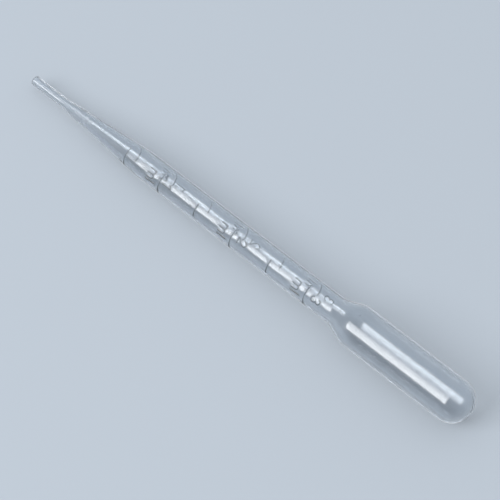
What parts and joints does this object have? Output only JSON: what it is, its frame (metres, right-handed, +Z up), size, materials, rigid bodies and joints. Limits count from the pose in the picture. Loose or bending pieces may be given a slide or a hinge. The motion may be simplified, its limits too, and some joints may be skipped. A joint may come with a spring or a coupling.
{
  "type": "plastic dropper pipette",
  "caption": "Clear one-piece transfer pipette with a slim tip, a graduated stem and a squeeze bulb, lying on its side.",
  "frame": {"origin": "on the bench, under the middle of the overall box of the pipette as it lies", "axes": "+X from the tip towards the bulb, along the bench; +Z up; the pipette's own axis rises 1.6 degrees towards the bulb, because the bulb is thicker than the stem"},
  "size_m": [0.16, 0.0122, 0.0131],
  "materials": {
    "clear_plastic": "blow-moulded low-density polyethylene, clear with a slight milky haze, glossy outside"
  },
  "bodies": {
    "root": {"pipette": "clear_plastic"}
  },
  "joints": []
}
